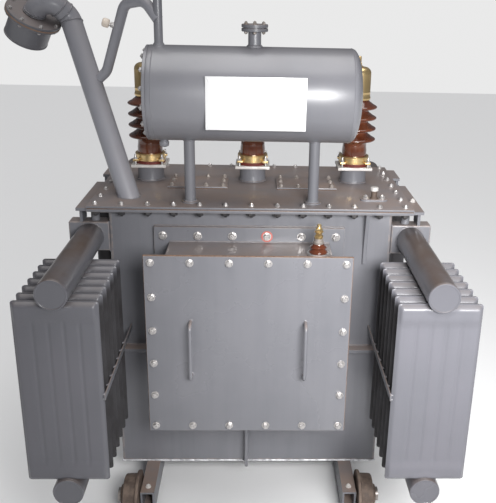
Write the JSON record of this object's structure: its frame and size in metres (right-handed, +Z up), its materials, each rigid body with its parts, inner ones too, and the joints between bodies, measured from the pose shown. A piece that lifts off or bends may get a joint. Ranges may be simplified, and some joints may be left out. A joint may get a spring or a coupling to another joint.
{
  "type": "power transformer",
  "caption": "Oil-filled power transformer on flanged rollers, with finned radiators, an oil conservator, brown porcelain bushings, an explosion vent and a bolted cable box.",
  "frame": {"origin": "on the floor under the centre of the tank", "axes": "+X along the tank to the right, +Y from the cable box to the back, +Z up"},
  "size_m": [1.8614, 1.866, 2.248],
  "materials": {
    "grey_paint": "gloss enamel",
    "radiator_paint": "gloss enamel",
    "brown_porcelain": "glossy glaze",
    "brass": "bright",
    "sign_enamel": "satin",
    "valve_metal": "satin",
    "roller_iron": "dusty",
    "axle_steel": "dull"
  },
  "bodies": {
    "transformer": {"axles": "axle_steel", "balance_pipe": "grey_paint", "breather_pipe": "grey_paint", "bushing_clamps": "brass", "bushing_porcelain_left": "brown_porcelain", "bushing_porcelain_middle": "brown_porcelain", "bushing_porcelain_right": "brown_porcelain", "bushing_terminals": "brass", "bushing_turrets": "grey_paint", "cable_box_body": "grey_paint", "cable_box_cover": "grey_paint", "cable_box_frame": "grey_paint", "cable_box_handles": "grey_paint", "conservator_end_left": "grey_paint", "conservator_end_right": "grey_paint", "conservator_posts": "grey_paint", "conservator_shell": "grey_paint", "drain_plug": "grey_paint", "filler_cap": "grey_paint", "filler_neck": "grey_paint", "front_gusset": "grey_paint", "hatch_covers": "grey_paint", "header_ducts": "grey_paint", "lifting_lugs": "grey_paint", "neutral_bushing": "brown_porcelain", "neutral_stem": "brass", "radiator_headers_front_left": "radiator_paint", "radiator_headers_front_right": "radiator_paint", "radiator_headers_rear_left": "radiator_paint", "radiator_headers_rear_right": "radiator_paint", "radiator_panels_front_left": "radiator_paint", "radiator_panels_front_right": "radiator_paint", "radiator_panels_rear_left": "radiator_paint", "radiator_panels_rear_right": "radiator_paint", "sign_plate": "sign_enamel", "skids": "grey_paint", "tank_band": "grey_paint", "tank_body": "grey_paint", "tank_cover": "grey_paint", "tank_ribs": "grey_paint", "tank_rim": "grey_paint", "tap_switch": "grey_paint", "tie_bars": "grey_paint", "vent_head": "grey_paint", "vent_pipe": "grey_paint", "vent_valve": "valve_metal"},
    "wheel_front_left": {"wheel_front_left": "roller_iron"},
    "wheel_front_right": {"wheel_front_right": "roller_iron"},
    "wheel_rear_left": {"wheel_rear_left": "roller_iron"},
    "wheel_rear_right": {"wheel_rear_right": "roller_iron"}
  },
  "joints": [
    {"name": "wheel_front_left_spin", "type": "hinge", "parent": "transformer", "child": "wheel_front_left", "pos_m": [-0.514, -0.491, 0.105], "axis": [1, 0, 0], "continuous": true},
    {"name": "wheel_front_right_spin", "type": "hinge", "parent": "transformer", "child": "wheel_front_right", "pos_m": [0.514, -0.491, 0.105], "axis": [1, 0, 0], "continuous": true},
    {"name": "wheel_rear_left_spin", "type": "hinge", "parent": "transformer", "child": "wheel_rear_left", "pos_m": [-0.514, 0.491, 0.105], "axis": [1, 0, 0], "continuous": true},
    {"name": "wheel_rear_right_spin", "type": "hinge", "parent": "transformer", "child": "wheel_rear_right", "pos_m": [0.514, 0.491, 0.105], "axis": [1, 0, 0], "continuous": true}
  ]
}
